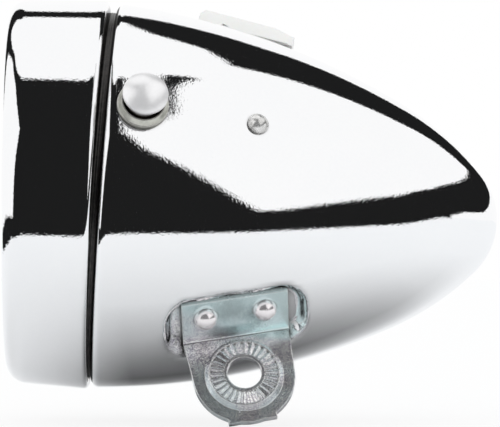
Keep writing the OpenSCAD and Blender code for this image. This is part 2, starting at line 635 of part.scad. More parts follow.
// Rim, lens and reflector, all round the axis
lip_r = rim_front_r - rim_corner - rim_lip;
land_r = rim_front_r - rim_corner;
lens_x = rim_wall + gasket_t;
lens_r = land_r + 0.4;
lens_back = lens_x + lens_edge_t;
bead_x = rim_len - bead_r;
front_step = 0.04;
flare_x = rim_corner + rim_r * sin(front_slant) + rim_wall;
module rim() color("gainsboro") rim_frame() {
    slanted() turned(concat(
        [[lip_r, rim_wall], [lip_r, 0]],
        arc(rim_corner, land_r, rim_corner, -90, 0),
        arc(rim_corner, land_r, rim_corner - rim_wall, 0, -90)
    ));
    difference() {
        rotate([0, 90, 0]) rotate_extrude() {
            wall_r = rim_front_r + front_step;
            polygon([
                [wall_r, 0], [wall_r, flare_x], [rim_r, bead_x],
                [rim_r - rim_wall, bead_x], [wall_r - rim_wall, flare_x], [wall_r - rim_wall, 0]
            ]);
            translate([rim_r - bead_r, bead_x]) circle(r = bead_r);
        }
        slanted() rod(-rim_len, 2 * rim_r, rim_len + rim_corner - eps);
    }
}
module lens_gasket() color("black") face_frame() tube(rim_wall, land_r, rim_lip - 0.2, gasket_t);
module lens() color("azure") face_frame() {
    dome_r = lip_r - 0.3;
    dome_arc_r = (pow(dome_r, 2) + pow(lens_crown, 2)) / (2 * lens_crown);
    dome_angle = asin(dome_r / dome_arc_r);
    turned(concat(
        [[0, lens_back], [0, lens_x - lens_crown]],
        [for (i = [1 : 12]) let (a = dome_angle * i / 12)
            [dome_arc_r * sin(a), lens_x - lens_crown + dome_arc_r * (1 - cos(a))]],
        [[lens_r, lens_x], [lens_r, lens_back]]
    ));
    flute_span = bowl_r - 0.5;
    flute_pitch = 2 * flute_span / flute_count;
    flute_r = pow(flute_pitch / 2, 2) / (2 * flute_depth) + flute_depth / 2;
    flute_half = asin(flute_pitch / 2 / flute_r);
    intersection() {
        rod(lens_back - eps, flute_span, flute_depth + 1);
        translate([0, 0, -flute_span]) linear_extrude(2 * flute_span) polygon(concat(
            [[lens_back, flute_span], [lens_back - 1, flute_span], [lens_back - 1, -flute_span]],
            [for (i = [0 : flute_count - 1]) for (j = [0 : 5]) let (a = flute_half * (j / 3 - 1))
                [lens_back + flute_depth + flute_r * (cos(a) - 1),
                 (i + 0.5) * flute_pitch - flute_span + flute_r * sin(a)]]
        ));
    }
}
bowl_r = lip_r - 1;
apex_x = lens_back + reflector_depth;
focal_len = bowl_r * bowl_r / (4 * reflector_depth);
focus_x = apex_x - focal_len;
sleeve_r = cap_d / 2 + cap_clearance + sleeve_wall;
ring_x = lens_back + reflector_t + ring_wire_r;
ring_r = rim_front_r - rim_wall - ring_wire_r - (ring_x - rim_corner) * sin(front_slant);
reflector_edge_r = ring_r + 0.2;
// Point of the reflector's bowl at radius r, moved out square to its surface
function bowl(r, out) = let (k = r / (2 * focal_len), n = sqrt(1 + k * k))
    [r + out * k / n, apex_x - r * r / (4 * focal_len) + out / n];
module reflector() color("silver") face_frame() {
    hole_r = sleeve_r + 0.05;
    steps = 20;
    turned(concat(
        [for (i = [0 : steps]) bowl(hole_r + (bowl_r - hole_r) * i / steps, 0)],
        [for (i = [steps : -1 : 0]) bowl(hole_r + (bowl_r - hole_r) * i / steps, reflector_t)]
    ));
    tube(lens_back, reflector_edge_r, reflector_edge_r - bowl_r, reflector_t);
}
module retaining_ring() color("dimgray") face_frame() translate([ring_x, 0, 0])
    rotate([0, 90, 0]) rotate([0, 0, 10]) rotate_extrude(angle = 340)
        translate([ring_r, 0]) circle(r = ring_wire_r);

// Bulb and its holder
cap_x = focus_x + 8;
cap_end_x = cap_x + cap_len;
tip_h = 0.7;
holder_x = cap_x - 0.8;
insulator_x = cap_end_x + tip_h;
insulator_t = 1.2;
contact_end_x = bulkhead_x - strip_t - 0.5;
contact_gap = 0.05 + link_w / 2 * tan(front_slant + rim_skew);
module bulb_holder() color("goldenrod") face_frame() {
    tube(holder_x, sleeve_r, sleeve_wall, insulator_x + insulator_t + 0.3 - holder_x);
    tube(apex_x - 0.25, sleeve_r + 3.4, 3.4 + sleeve_wall / 2, 0.8);
}
module holder_insulator() color("saddlebrown") face_frame()
    tube(insulator_x, cap_d / 2 + cap_clearance, cap_d / 2 + cap_clearance - 1.2, insulator_t);
module centre_contact() color("goldenrod") face_frame() {
    rod(insulator_x, 1.2, contact_end_x - contact_gap - insulator_x);
    rod(contact_end_x - contact_gap - 0.8, pad_r, 0.8);
}
module bulb_cap() color("goldenrod") face_frame() {
    thread = 0.35;
    pitch = 1.8;
    turned(concat(
        [[0, cap_x], [cap_d / 2, cap_x], [cap_d / 2, cap_x + 1.4]],
        [for (i = [0 : 3]) for (p = [[thread, 0.5 * pitch], [0, pitch]])
            [cap_d / 2 - p[0], cap_x + 1.4 + i * pitch + p[1]]],
        [[cap_d / 2 - thread, cap_end_x], [0, cap_end_x]]
    ));
    rod(cap_end_x - eps, 1.6, tip_h + eps);
}
module bulb_glass() color("aliceblue") face_frame() {
    neck = cap_d / 2 - 1.1;
    neck_angle = 180 - asin(neck / globe_r);
    wall = 0.5;
    turned(concat(
        [for (i = [0 : 16]) let (a = neck_angle * i / 16) [globe_r * sin(a), focus_x + 0.6 - globe_r * cos(a)]],
        [[neck, cap_x], [neck - wall, cap_x]],
        [for (i = [16 : -1 : 0]) let (a = (neck_angle + 5) * i / 16)
            [(globe_r - wall) * sin(a), focus_x + 0.6 - (globe_r - wall) * cos(a)]]
    ));
}
module bulb_filament() color("dimgray") face_frame() {
    for (side = [-1, 1]) translate([0, side * 1.5, 0]) rod(focus_x, 0.22, cap_x - focus_x);
    translate([focus_x + 0.2, 0, 0]) rotate([90, 0, 0]) cylinder(r = 0.3, h = 3.2, center = true);
    translate([focus_x + 4.5, 0, 0]) rotate([90, 0, 0]) cylinder(r = 0.7, h = 3.6, center = true);
}

shell();
bracket_plate();
bracket_rivets();
bracket_backing_plate();
button_collar();
button_leaf();
leaf_stud();
button_contact();
switch_guide_plate();
switch_rivets();
switch_contacts();
battery_bulkhead();
battery_cradle();
battery_cells();
front_contacts();
rear_contacts();
rim();
lens_gasket();
lens();
reflector();
retaining_ring();
bulb_holder();
holder_insulator();
centre_contact();
bulb_cap();
bulb_glass();
bulb_filament();
switch_slider();
slider_shoe();
slider_contact();
button_head();
button_foot();
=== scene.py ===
# Chromed bullet headlight for a bicycle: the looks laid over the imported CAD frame
import bpy, json, math
from mathutils import Vector, Matrix


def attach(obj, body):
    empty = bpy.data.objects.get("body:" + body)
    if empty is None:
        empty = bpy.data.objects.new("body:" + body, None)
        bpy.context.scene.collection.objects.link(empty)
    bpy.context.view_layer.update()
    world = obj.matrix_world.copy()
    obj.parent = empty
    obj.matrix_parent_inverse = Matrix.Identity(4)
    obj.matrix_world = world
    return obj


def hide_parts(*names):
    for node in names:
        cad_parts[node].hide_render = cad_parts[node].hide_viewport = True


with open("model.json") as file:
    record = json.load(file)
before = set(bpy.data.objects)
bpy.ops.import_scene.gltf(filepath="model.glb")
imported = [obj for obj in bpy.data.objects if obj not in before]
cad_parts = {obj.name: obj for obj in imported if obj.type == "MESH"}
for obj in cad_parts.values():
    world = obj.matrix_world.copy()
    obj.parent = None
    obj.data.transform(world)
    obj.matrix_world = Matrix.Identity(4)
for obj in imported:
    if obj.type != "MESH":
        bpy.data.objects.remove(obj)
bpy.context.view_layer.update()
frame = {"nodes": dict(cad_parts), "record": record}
scene = bpy.context.scene
scene.view_settings.view_transform = "Standard"
print("frame loaded:", len(frame["nodes"]), "nodes")

mm = 0.001

# The lamp's own sizes, as the CAD has them. Places along it count from the middle of the rim's front
lamp = {
    "origin": Vector((-46.288, 4.980, 36.965)) * mm,
    "shellX": 18.1 * mm, "tipX": 91.0 * mm, "shellR": 35.9 * mm, "wall": 0.8 * mm,
    "sideX": 10.0 * mm, "noseLen": 18.8 * mm, "noseR": 20.85 * mm, "tipR": 13.6 * mm,
    "neckR": 33.85 * mm, "neckLen": 9 * mm, "edgeR": 1.5 * mm,
}

# Camera: it looks square at the lamp's side from a little below, and the studio is level with it
camera = {"distance": 0.750, "lens": 290.5, "sensor": 36, "clipStart": 0.01, "below": 28, "roll": 4.31,
          "ahead": 45.02 * mm, "lift": -1.33 * mm}
alongLamp = Vector((1, 0, 0))
below = math.radians(camera["below"])
toCamera = Vector((0, -math.cos(below), -math.sin(below)))
studioTurn = Matrix.Rotation(math.radians(camera["roll"]), 3, toCamera)
studioRight = studioTurn @ alongLamp
studioUp = studioTurn @ toCamera.cross(alongLamp)


def addCamera(spec):
    aim = lamp["origin"] + alongLamp * spec["ahead"] + studioUp * spec["lift"]
    data = bpy.data.cameras.new("photoCamera")
    data.lens = spec["lens"]
    data.sensor_width = spec["sensor"]
    data.sensor_fit = "HORIZONTAL"
    data.clip_start = spec["clipStart"]
    obj = bpy.data.objects.new("photoCamera", data)
    scene.collection.objects.link(obj)
    turn = Matrix((studioRight, studioUp, toCamera)).transposed().to_4x4()
    obj.matrix_world = Matrix.Translation(aim + toCamera * spec["distance"]) @ turn
    scene.camera = obj


addCamera(camera)
print("camera set")


# Studio: white room, pale table, and dark cards and a dark sheet that only the metal sees. The sheet under the shell is
# a painted shadow
white = (1, 1, 1, 1)
studio = {"roomColour": (0.97, 0.985, 1.0, 1), "roomLevel": 1.08, "cardDistance": 8.0, "cardCentre": 40 * mm,
          "cardColour": (0.012, 0.012, 0.012, 1)}
table = {
    "drop": 43.2 * mm, "colour": (0.90, 0.90, 0.90, 1), "cameraGlow": 0.85, "glossGlow": 0.05,
    # Outline as (right, towards the camera), in metres: the near edge lies a little in front of the lamp
    "edge": [(-0.7, -1.6), (-0.25, -0.25), (-0.136, 0.0), (-0.085, 0.072), (-0.033, 0.100), (0.0, 0.109), (0.04, 0.120),
             (0.10, 0.124), (0.17, 0.134), (0.38, 0.165), (0.72, 0.224), (1.9, 0.43), (1.9, -1.6)],
}
paintedShadowSheet = {
    "right": 60 * mm, "length": 160 * mm, "width": 90 * mm, "lift": 0.4 * mm, "colour": (0.03, 0.03, 0.032, 1),
    # How dense the painted shadow is from its left end to its right end, and from its middle line to its long edges
    "along": [(0.17, 0.0), (0.21, 0.15), (0.27, 0.74), (0.42, 0.78), (0.54, 0.64), (0.63, 0.47), (0.74, 0.20),
              (0.86, 0.06), (0.98, 0.0)],
    "across": [(0.0, 1.0), (0.27, 0.7), (0.49, 0.36), (0.85, 0.0)],
}
# Cards as (azimuth from the camera towards the nose, lowest and highest elevation), in degrees
cards = {
    "darkFrontCard": [(-140, -60, -3), (-100, -60, -6), (-75, -60, -9), (-55, -60, -12), (-50, -60, 2),
                      (-44, -60, 14), (-36, -60, 23), (-28, -60, 30), (-21.7, -60, 36), (-21.4, -60, 69),
                      (-5, -60, 70), (-2, -60, 72), (5, -60, 73), (8, -60, 72), (12, -60, 38), (15, -60, 28),
                      (21, -60, 17.5), (27.5, -60, 2.5), (31, -60, -5), (36, -60, -3), (43, -60, 2), (50, -60, 7),
                      (60, -60, 14), (67, -60, 17)],
    "darkBandCard": [(67, -60, 17), (72, -60, 18.5), (78, -10, 20), (82, 1, 21.5), (90, 4.5, 23.5), (100, 6, 25),
                     (112, 7, 26.5), (124, 8.5, 26.5), (136, 10.5, 25.5)],
    "darkBackCard": [(127.5, 65.4, 66.2), (130, 56, 65.8), (132, 43, 65.2), (134.4, 35, 64.8), (135.9, 10.4, 64.4),
                     (142, 11, 63.6), (149, 11.5, 61.5), (155, 14, 61), (159, 17, 60.6), (160, 27, 60.4), (162, 32, 60),
                     (164, 38, 59.5), (168, 39.5, 57), (173, 40, 52), (185, 43, 51.5)],
    "darkLeftFrame": [(185, 43, 51.5), (190, 40, 51), (196, 31, 50), (201, 17, 49), (204, 6, 48), (210, 5, 38),
                      (216, 9, 27), (222, 19.5, 28.7), (235, 31, 38), (249, 42, 49.5), (270, 47, 55.5), (287, 50, 60.5),
                      (300, 48, 64), (315, 44.5, 66.5), (330, 39, 68), (338.6, 36, 69)],
    "darkRearFrame": [(10, 36, 73), (12.4, 38, 73), (13.2, 45, 73), (15.4, 53, 73), (18.4, 60, 73), (22, 64.6, 73),
                      (26, 68, 73), (31, 71.3, 73)],
    "darkTopSliver": [(24, 46.5, 46.9), (30, 53, 56.5), (36, 60.3, 63.5), (45, 66.5, 70), (53, 69, 72.5),
                      (60, 70.2, 73.8), (66, 70.8, 73.6), (76, 71.2, 71.7)],
}


def deselectAll():
    if bpy.context.object and bpy.context.object.mode != "OBJECT":
        bpy.ops.object.mode_set(mode="OBJECT")
    bpy.ops.object.select_all(action="DESELECT")


def newMaterial(name):
    mat = bpy.data.materials.new(name)
    mat.use_nodes = True
    mat.node_tree.nodes.clear()
    return mat, mat.node_tree.nodes, mat.node_tree.links


def addNode(tree, kind, **settings):
    # A setting that names an input gives its value, and any other is the node's own
    node = tree.nodes.new(kind)
    for key, value in settings.items():
        if key in node.inputs.keys():
            node.inputs[key].default_value = value
        else:
            setattr(node, key, value)
    return node


def addRamp(tree, stops):
    ramp = tree.nodes.new("ShaderNodeValToRGB")
    while len(ramp.color_ramp.elements) < len(stops):
        ramp.color_ramp.elements.new(0.5)
    for element, (place, shade) in zip(ramp.color_ramp.elements, stops):
        element.position = place
        element.color = (*shade, 1) if isinstance(shade, tuple) else (shade, shade, shade, 1)
    return ramp


def direction(azimuth, elevation):
    a, e = math.radians(azimuth), math.radians(elevation)
    return (toCamera * math.cos(a) + studioRight * math.sin(a)) * math.cos(e) + studioUp * math.sin(e)


def onlyForMetal(obj):
    obj.visible_camera = False
    obj.visible_diffuse = False
    obj.visible_shadow = False


def cardMaterial():
    mat, nodes, links = newMaterial("cardCloth")
    out = nodes.new("ShaderNodeOutputMaterial")
    darkSheet = addNode(mat.node_tree, "ShaderNodeBsdfDiffuse", Color=studio["cardColour"])
    links.new(darkSheet.outputs[0], out.inputs[0])
    return mat


def addCard(name, outline, mat):
    deselectAll()
    bpy.ops.mesh.primitive_grid_add(x_subdivisions=len(outline) - 1, y_subdivisions=1, size=2)
    card = bpy.context.object
    card.name = name
    columns = sorted({round(v.co.x, 4) for v in card.data.vertices})
    centre = lamp["origin"] + alongLamp * studio["cardCentre"]
    for v in card.data.vertices:
        azimuth, low, high = outline[columns.index(round(v.co.x, 4))]
        v.co = centre + direction(azimuth, low if v.co.y < 0 else high) * studio["cardDistance"]
    card.data.materials.append(mat)
    onlyForMetal(card)


def addPaintedShadowSheet(spec):
    # A painted shadow: a dark sheet on the table under the shell that only the metal sees. It stands in for the lamp's
    # shadow there, and darkens the chrome's bottom edge
    deselectAll()
    bpy.ops.mesh.primitive_grid_add(x_subdivisions=1, y_subdivisions=1, size=2)
    darkSheet = bpy.context.object
    darkSheet.name = "paintedShadowUnderShell"
    for v in darkSheet.data.vertices:
        v.co = Vector((v.co.x * spec["length"] / 2, v.co.y * spec["width"] / 2, 0))
    middle = lamp["origin"] + studioRight * spec["right"] - studioUp * (table["drop"] - spec["lift"])
    turn = Matrix((studioRight, -toCamera, studioUp)).transposed().to_4x4()
    darkSheet.matrix_world = Matrix.Translation(middle) @ turn
    mat, nodes, links = newMaterial("paintedShadowSheet")
    tree = mat.node_tree
    out = nodes.new("ShaderNodeOutputMaterial")
    dark = addNode(tree, "ShaderNodeBsdfDiffuse", Color=spec["colour"])
    clear = nodes.new("ShaderNodeBsdfTransparent")
    mix = nodes.new("ShaderNodeMixShader")
    place = nodes.new("ShaderNodeTexCoord")
    parts = nodes.new("ShaderNodeSeparateXYZ")
    along = addNode(tree, "ShaderNodeMapRange", **{"From Min": -spec["length"] / 2, "From Max": spec["length"] / 2})
    away = addNode(tree, "ShaderNodeMath", operation="ABSOLUTE")
    across = addNode(tree, "ShaderNodeMapRange", **{"From Max": spec["width"] / 2})
    alongShade = addRamp(tree, spec["along"])
    acrossShade = addRamp(tree, spec["across"])
    both = addNode(tree, "ShaderNodeMath", operation="MULTIPLY")
    links.new(place.outputs["Object"], parts.inputs[0])
    links.new(parts.outputs["X"], along.inputs["Value"])
    links.new(parts.outputs["Y"], away.inputs[0])
    links.new(away.outputs[0], across.inputs["Value"])
    links.new(along.outputs[0], alongShade.inputs[0])
    links.new(across.outputs[0], acrossShade.inputs[0])
    links.new(alongShade.outputs[0], both.inputs[0])
    links.new(acrossShade.outputs[0], both.inputs[1])
    links.new(both.outputs[0], mix.inputs[0])
    links.new(clear.outputs[0], mix.inputs[1])
    links.new(dark.outputs[0], mix.inputs[2])
    links.new(mix.outputs[0], out.inputs[0])
    darkSheet.data.materials.append(mat)
    onlyForMetal(darkSheet)


def tableMaterial(spec):
    # Painted pale, white to the camera, clear from below
    mat, nodes, links = newMaterial("paleFloorPaint")
    tree = mat.node_tree
    out = nodes.new("ShaderNodeOutputMaterial")
    paint = addNode(tree, "ShaderNodeBsdfDiffuse", Color=spec["colour"])
    glow = addNode(tree, "ShaderNodeEmission", Color=white, Strength=1.0)
    clear = nodes.new("ShaderNodeBsdfTransparent")
    path = nodes.new("ShaderNodeLightPath")
    facing = nodes.new("ShaderNodeNewGeometry")
    lift = nodes.new("ShaderNodeMixShader")
    under = nodes.new("ShaderNodeMixShader")
    seen = addNode(tree, "ShaderNodeMath", operation="MULTIPLY")
    seen.inputs[1].default_value = spec["cameraGlow"]
    shine = addNode(tree, "ShaderNodeMath", operation="MAXIMUM")
    mirrored = addNode(tree, "ShaderNodeMath", operation="MULTIPLY_ADD")
    mirrored.inputs[1].default_value = spec["glossGlow"]
    links.new(path.outputs["Is Camera Ray"], seen.inputs[0])
    links.new(path.outputs["Is Glossy Ray"], shine.inputs[0])
    links.new(path.outputs["Is Transmission Ray"], shine.inputs[1])
    links.new(shine.outputs[0], mirrored.inputs[0])
    links.new(seen.outputs[0], mirrored.inputs[2])
    links.new(mirrored.outputs[0], lift.inputs[0])
    links.new(paint.outputs[0], lift.inputs[1])
    links.new(glow.outputs[0], lift.inputs[2])
    links.new(facing.outputs["Backfacing"], under.inputs[0])
    links.new(lift.outputs[0], under.inputs[1])
    links.new(clear.outputs[0], under.inputs[2])
    links.new(under.outputs[0], out.inputs[0])
    return mat


def addTable(spec):
    deselectAll()
    bpy.ops.mesh.primitive_circle_add(vertices=len(spec["edge"]), fill_type="NGON")
    floor = bpy.context.object
    floor.name = "paleFloor"
    centre = lamp["origin"] - studioUp * spec["drop"]
    for v, (right, near) in zip(floor.data.vertices, spec["edge"]):
        v.co = centre + studioRight * right + toCamera * near
    floor.data.update()
    if floor.data.polygons[0].normal.dot(studioUp) < 0:
        floor.data.flip_normals()
    floor.data.materials.append(tableMaterial(spec))


def addWorld():
    # White to the camera, in mirrors and through glass, and a little cooler as light
    world = bpy.data.worlds.new("studioWorld")
    scene.world = world
    world.use_nodes = True
    tree, links = world.node_tree, world.node_tree.links
    tree.nodes.clear()
    out = tree.nodes.new("ShaderNodeOutputWorld")
    backdrop = addNode(tree, "ShaderNodeBackground", Color=white)
    room = addNode(tree, "ShaderNodeBackground", Color=studio["roomColour"], Strength=studio["roomLevel"])
    path = tree.nodes.new("ShaderNodeLightPath")
    straight = addNode(tree, "ShaderNodeMath", operation="MAXIMUM")
    through = addNode(tree, "ShaderNodeMath", operation="MAXIMUM")
    mix = tree.nodes.new("ShaderNodeMixShader")
    links.new(path.outputs["Is Camera Ray"], straight.inputs[0])
    links.new(path.outputs["Is Glossy Ray"], straight.inputs[1])
    links.new(straight.outputs[0], through.inputs[0])
    links.new(path.outputs["Is Transmission Ray"], through.inputs[1])
    links.new(through.outputs[0], mix.inputs[0])
    links.new(room.outputs[0], mix.inputs[1])
    links.new(backdrop.outputs[0], mix.inputs[2])
    links.new(mix.outputs[0], out.inputs[0])


cardCloth = cardMaterial()
for cardName, outline in cards.items():
    addCard(cardName, outline, cardCloth)
addTable(table)
addPaintedShadowSheet(paintedShadowSheet)
addWorld()
print("studio set:", len(cards), "cards")


# Node groups shared by several finishes. A list holds a ramp's stops
wearAndShade = {
    "hairTurns": [((0.5, 0.3, 0.3), 0.0), ((-0.9, -0.54, 0.3), 3.7)],  # rotation and shift of each direction
    "hairStretch": 0.035, "hairKeep": [(0.70, 0.0), (0.78, 1.0)],
    "edgeGain": 7.0, "edgeKeep": [(0.35, 0.25), (0.6, 1.0)],
    # How the painted seam shade follows the occlusion
    "seamShadeKeep": [(0.30, 1.0), (0.80, 0.0)],
    "speckleDark": 0.36, "speckleLight": 0.62, "patchKeep": [(0.46, 1.0), (0.62, 0.55)],
}


def newGroup(name, inputs, outputs):
    tree = bpy.data.node_groups.new(name, "ShaderNodeTree")
    for label, kind, value in inputs:
        socket = tree.interface.new_socket(name=label, in_out="INPUT", socket_type=kind)
        if value is not None:
            socket.default_value = value
    for label, kind in outputs:
        tree.interface.new_socket(name=label, in_out="OUTPUT", socket_type=kind)
    return tree, tree.nodes.new("NodeGroupInput"), tree.nodes.new("NodeGroupOutput")


def scratchGroup():
    # Hairlines in two directions, each broken up along its length
    tree, into, out = newGroup("fineScratches", [("Vector", "NodeSocketVector", None),
                                                 ("Scale", "NodeSocketFloat", 900.0)],
                               [("Mask", "NodeSocketFloat")])
    total = None
    for turn, shift in wearAndShade["hairTurns"]:
        turned = addNode(tree, "ShaderNodeMapping", Rotation=turn, Scale=(1.0, wearAndShade["hairStretch"], 1.0),
                         Location=(shift, shift, 0))
        lines = addNode(tree, "ShaderNodeTexNoise", Detail=2.0, Roughness=0.5)
        keep = addRamp(tree, wearAndShade["hairKeep"])
        tree.links.new(into.outputs["Vector"], turned.inputs["Vector"])
        tree.links.new(turned.outputs[0], lines.inputs["Vector"])
        tree.links.new(into.outputs["Scale"], lines.inputs["Scale"])
        tree.links.new(lines.outputs["Fac"], keep.inputs[0])
        if total is None:
            total = keep
        else:
            both = addNode(tree, "ShaderNodeMath", operation="MAXIMUM")
            tree.links.new(total.outputs[0], both.inputs[0])
            tree.links.new(keep.outputs[0], both.inputs[1])
            tree.links.new(both.outputs[0], out.inputs["Mask"])
    return tree


def edgeGroup():
    # Where the surface turns sharply, broken up by noise, and the normal that rounds such an edge
    tree, into, out = newGroup("edgeWear", [("Vector", "NodeSocketVector", None), ("Radius", "NodeSocketFloat", 0.0003),
                                            ("Noise Scale", "NodeSocketFloat", 1500.0)],
                               [("Mask", "NodeSocketFloat"), ("Normal", "NodeSocketVector")])
    soft = addNode(tree, "ShaderNodeBevel", samples=6)
    plain = addNode(tree, "ShaderNodeNewGeometry")
    match = addNode(tree, "ShaderNodeVectorMath", operation="DOT_PRODUCT")
    turn = addNode(tree, "ShaderNodeMath", operation="SUBTRACT")
    turn.inputs[0].default_value = 1.0
    grow = addNode(tree, "ShaderNodeMath", operation="MULTIPLY", use_clamp=True)
    grow.inputs[1].default_value = wearAndShade["edgeGain"]
    grain = addNode(tree, "ShaderNodeTexNoise", Detail=3.0)
    rough = addRamp(tree, wearAndShade["edgeKeep"])
    both = addNode(tree, "ShaderNodeMath", operation="MULTIPLY", use_clamp=True)
    tree.links.new(into.outputs["Radius"], soft.inputs["Radius"])
    tree.links.new(soft.outputs[0], match.inputs[0])
    tree.links.new(plain.outputs["Normal"], match.inputs[1])
    tree.links.new(match.outputs["Value"], turn.inputs[1])
    tree.links.new(turn.outputs[0], grow.inputs[0])
    tree.links.new(into.outputs["Vector"], grain.inputs["Vector"])
    tree.links.new(into.outputs["Noise Scale"], grain.inputs["Scale"])
    tree.links.new(grain.outputs["Fac"], rough.inputs[0])
    tree.links.new(grow.outputs[0], both.inputs[0])
    tree.links.new(rough.outputs[0], both.inputs[1])
    tree.links.new(both.outputs[0], out.inputs["Mask"])
    tree.links.new(soft.outputs[0], out.inputs["Normal"])
    return tree


def cloudGroup():
    # Soft patches with fine speckle over them, 0 to 1
    tree, into, out = newGroup("patchAndSpeckle", [("Vector", "NodeSocketVector", None),
                                                   ("Patch Scale", "NodeSocketFloat", 120.0),
                                                   ("Speckle Scale", "NodeSocketFloat", 3000.0),
                                                   ("Speckle Share", "NodeSocketFloat", 0.4)],
                               [("Value", "NodeSocketFloat"), ("Speckle", "NodeSocketFloat")])
    patch = addNode(tree, "ShaderNodeTexNoise", Detail=3.0, Roughness=0.55, Distortion=0.6)
    speck = addNode(tree, "ShaderNodeTexVoronoi", feature="F1")
    mix = addNode(tree, "ShaderNodeMix", data_type="FLOAT")
    tree.links.new(into.outputs["Vector"], patch.inputs["Vector"])
    tree.links.new(into.outputs["Patch Scale"], patch.inputs["Scale"])
    tree.links.new(into.outputs["Vector"], speck.inputs["Vector"])
    tree.links.new(into.outputs["Speckle Scale"], speck.inputs["Scale"])
    tree.links.new(into.outputs["Speckle Share"], mix.inputs[0])
    tree.links.new(patch.outputs["Fac"], mix.inputs[2])
    tree.links.new(speck.outputs["Color"], mix.inputs[3])
    tree.links.new(mix.outputs[0], out.inputs["Value"])
    tree.links.new(speck.outputs["Color"], out.inputs["Speckle"])
    return tree


def seamShadeGroup():
    # Painted shade: darker in narrow gaps and at the foot of anything that stands on the surface, from ambient
    # occlusion
    tree, into, out = newGroup("paintedSeamShade", [("Depth", "NodeSocketFloat", 0.002)], [("Mask", "NodeSocketFloat")])
    shut = addNode(tree, "ShaderNodeAmbientOcclusion", samples=8)
    turn = addRamp(tree, wearAndShade["seamShadeKeep"])
    tree.links.new(into.outputs["Depth"], shut.inputs["Distance"])
    tree.links.new(shut.outputs["AO"], turn.inputs[0])
    tree.links.new(turn.outputs[0], out.inputs["Mask"])
    return tree


groups = {"seam": seamShadeGroup(), "scratch": scratchGroup(), "edge": edgeGroup(), "cloud": cloudGroup()}


def useGroup(nodes, key, **values):
    node = nodes.new("ShaderNodeGroup")
    node.node_tree = groups[key]
    for label, value in values.items():
        node.inputs[label.replace("_", " ")].default_value = value
    return node


def lowerTint(tree, place, shades, spec):
    # Below a height the coating is greyer and finely speckled, with patches of the upper tint left in it
    parts = tree.nodes.new("ShaderNodeSeparateXYZ")
    fade = addNode(tree, "ShaderNodeMapRange")
    fade.inputs["From Min"].default_value = spec["bottom"]
    fade.inputs["From Max"].default_value = spec["top"]
    fade.inputs["To Min"].default_value = 1.0
    fade.inputs["To Max"].default_value = 0.0
    grain = addNode(tree, "ShaderNodeTexNoise", Scale=spec["grain"], Detail=2.0, Roughness=0.7)
    speckle = addRamp(tree, [(wearAndShade["speckleDark"], spec["dark"]), (wearAndShade["speckleLight"], spec["light"])])
    patch = addNode(tree, "ShaderNodeTexNoise", Scale=spec["patch"], Detail=1.0)
    share = addRamp(tree, wearAndShade["patchKeep"])
    amount = addNode(tree, "ShaderNodeMath", operation="MULTIPLY", use_clamp=True)
    both = addNode(tree, "ShaderNodeMix", data_type="RGBA")
    for texture in (grain, patch):
        tree.links.new(place.outputs["Object"], texture.inputs["Vector"])
    tree.links.new(place.outputs["Object"], parts.inputs[0])
    tree.links.new(parts.outputs["Z"], fade.inputs["Value"])
    tree.links.new(grain.outputs["Fac"], speckle.inputs[0])
    tree.links.new(patch.outputs["Fac"], share.inputs[0])
    tree.links.new(fade.outputs[0], amount.inputs[0])
    tree.links.new(share.outputs[0], amount.inputs[1])
    tree.links.new(amount.outputs[0], both.inputs[0])
    tree.links.new(shades.outputs[0], both.inputs[6])
    tree.links.new(speckle.outputs[0], both.inputs[7])
    return both.outputs[2]


# What all finishes have in common
skinBase = {"coatRough": 0.08, "subsurfaceDepth": 0.5 * mm, "drift": 0.93, "driftFrom": 0.3, "driftTo": 0.7}
glassBase = {"ior": 1.5, "drift": 0.97, "scratchRough": 0.06, "patchScale": 90.0, "speckleScale": 1800.0,
             "speckleShare": 0.2}
